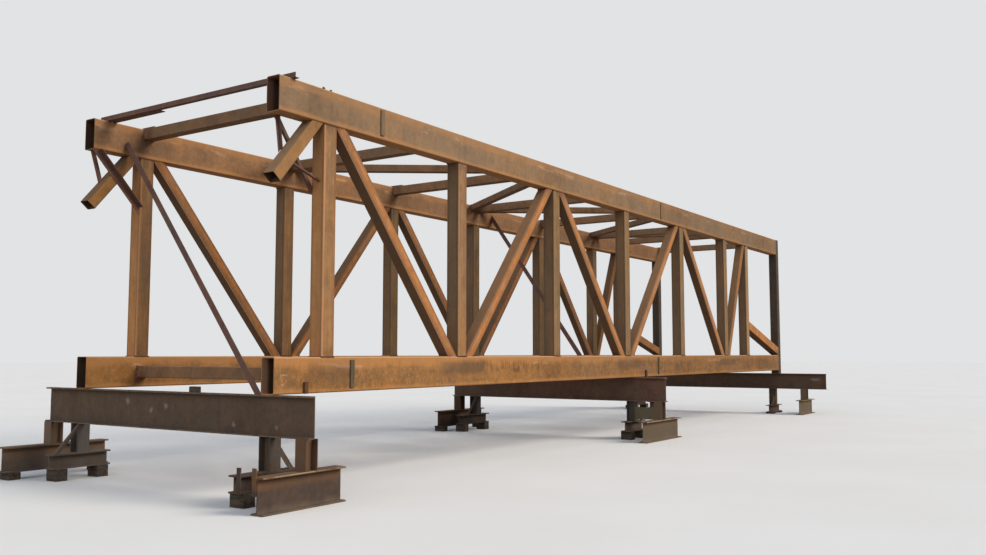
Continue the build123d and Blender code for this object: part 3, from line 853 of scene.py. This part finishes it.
# Tabs on the joints between the top cross beams and the left top chord
TAB_SPAN = (0.012, 0.085)
TAB_REACH = 0.19
TAB_LAP = 0.06
TAB_THICKNESS = 0.018

bm = bmesh.new()
for (x, _), _ in feet("top_cross_beams", 1, inner_face):
    low = (x + TAB_SPAN[0], inner_face - TAB_REACH, roof)
    high = (x + TAB_SPAN[1], inner_face + TAB_LAP, roof + TAB_THICKNESS)
    plate(bm, low, high, STEEL_BEVEL)
piece("beam_tabs", bm, "angle")

# Angle seat under each end of the first floor cross beam
SEAT_LEG = 0.06
SEAT_PLATE = 0.009
SEAT_OVERHANG = 0.02

bm = bmesh.new()
(x_low, x_high), (under_beam, _) = feet("floor_cross_beams", 1, inner_face)[0]
ledge = (SEAT_LEG, under_beam - SEAT_PLATE, under_beam)
upright = (SEAT_PLATE, under_beam - SEAT_LEG, under_beam - SEAT_PLATE)
for side in (LEFT, RIGHT):
    for reach, bottom, top in (ledge, upright):
        near, far = sorted((side * inner_face, side * (inner_face - reach)))
        plate(bm, (x_low - SEAT_OVERHANG, near, bottom), (x_high + SEAT_OVERHANG, far, top), THIN_BEVEL)
piece("floor_beam_seats", bm, "angle")

# Stumps of cut-off lifting tabs on the right top chord: place from the open end, half length and half height
STUMPS = ((0.70, 0.022, 0.026), (0.815, 0.016, 0.018))
STUMP_HALF_WIDTH = 0.02
STUMP_INSET = 0.03
STUMP_RISE = 0.004

bm = bmesh.new()
for place, reach, height in STUMPS:
    made = bmesh.ops.create_icosphere(bm, subdivisions=3, radius=1.0)["verts"]
    for v in made:
        v.co *= random.uniform(0.86, 1.12)
    bmesh.ops.smooth_vert(bm, verts=made, factor=0.5, use_axis_x=True, use_axis_y=True, use_axis_z=True)
    bmesh.ops.scale(bm, verts=made, vec=(reach, STUMP_HALF_WIDTH, height))
    middle = (open_end + place, -outer_face + STUMP_INSET, roof + STUMP_RISE)
    bmesh.ops.translate(bm, verts=made, vec=middle)
piece("cut_tab_stumps", bm, "weld")

# Pale packing piece left on the first girder
BLOCK_SPAN = (-0.53, -0.39)
BLOCK_SETBACK = 0.015
BLOCK_WIDTH = 0.06
BLOCK_HEIGHT = 0.065

bm = bmesh.new()
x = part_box("first_trestle_girder")[0].x + BLOCK_SETBACK
low = (x, BLOCK_SPAN[0], seat)
high = (x + BLOCK_WIDTH, BLOCK_SPAN[1], seat + BLOCK_HEIGHT)
plate(bm, low, high, TIMBER_BEVEL)
piece("girder_block", bm, "timber")

# Studio: a wide pale floor, a pale backdrop and two soft suns
FLOOR_RADIUS = 160.0
BOUNCE_COLOUR = srgb(150, 140, 128)
FLOOR_COLOURS = (srgb(249, 242, 228), srgb(253, 246, 233))
SKY_COLOUR = srgb(206, 222, 255)
SKY_STRENGTH = 0.45
BACKDROP_COLOUR = srgb(226, 227, 228)

# Suns: name, strength, spread in degrees, colour and direction of the light
SUNS = (
    ("key", 2.3, 30, (1.0, 0.98, 0.95), (-0.30, 0.80, -0.52)),
    ("fill", 1.0, 60, (0.86, 0.93, 1.0), (0.90, 0.20, -0.38)),
)


def floor_finish():
    """Pale where it is looked at, and as dull as soil where it only sends light back."""
    f = Finish("pale_floor")
    pale = f.mix(f.noise(0.35, 4.0).ramp(0.3, 0.7), *FLOOR_COLOURS)
    colour = f.mix(f.seen(), BOUNCE_COLOUR, pale)
    return f.done(colour, 0.9, f.noise(14.0, 4.0), 0.002)


def pale_floor():
    """Round floor that the object stands on."""
    bm = bmesh.new()
    bmesh.ops.create_circle(bm, segments=96, radius=FLOOR_RADIUS, cap_ends=True)
    mesh = mesh_of("floor", bm)
    mesh.materials.append(floor_finish())
    floor = placed("floor", mesh)


def studio_light():
    """Even light from all round, a plain pale backdrop, and soft suns from the right and the open end."""
    world = bpy.data.worlds.new("studio")
    world.use_nodes = True
    bpy.context.scene.world = world
    sky = Shader(world.node_tree)
    light = sky.node("ShaderNodeBackground", None, {"Color": SKY_COLOUR, "Strength": SKY_STRENGTH})
    backdrop = sky.node("ShaderNodeBackground", None, {"Color": BACKDROP_COLOUR, "Strength": 1.0})
    sockets = {0: sky.seen(), 1: light.outputs[0], 2: backdrop.outputs[0]}
    both = sky.node("ShaderNodeMixShader", None, sockets)
    sky.node("ShaderNodeOutputWorld", None, {"Surface": both.outputs[0]})
    for name, energy, spread, colour, towards in SUNS:
        lamp = bpy.data.lights.new(name, "SUN")
        lamp.energy = energy
        lamp.angle = math.radians(spread)
        lamp.color = colour
        placed(name, lamp).rotation_euler = Vector(towards).to_track_quat("-Z", "Y").to_euler()


# Camera where the photograph was taken
CAMERA_PLACE = (-15.806, -9.159, 1.568)
YAW = math.radians(33.811)
PITCH = math.radians(4.704)
LENS = 33.75
SENSOR = 36.0
FAR_LIMIT = 500.0


def photo_camera():
    """Camera at the place of the photograph's, looking the same way."""
    view = bpy.data.cameras.new("photo_camera")
    view.lens = LENS
    view.sensor_width = SENSOR
    view.clip_end = FAR_LIMIT
    camera = placed("photo_camera", view)
    camera.location = CAMERA_PLACE
    ahead = Vector((math.cos(YAW) * math.cos(PITCH), math.sin(YAW) * math.cos(PITCH), math.sin(PITCH)))
    camera.rotation_euler = ahead.to_track_quat("-Z", "Y").to_euler()
    return camera


pale_floor()
studio_light()
bpy.context.scene.camera = photo_camera()
bpy.context.scene.view_settings.view_transform = "Standard"
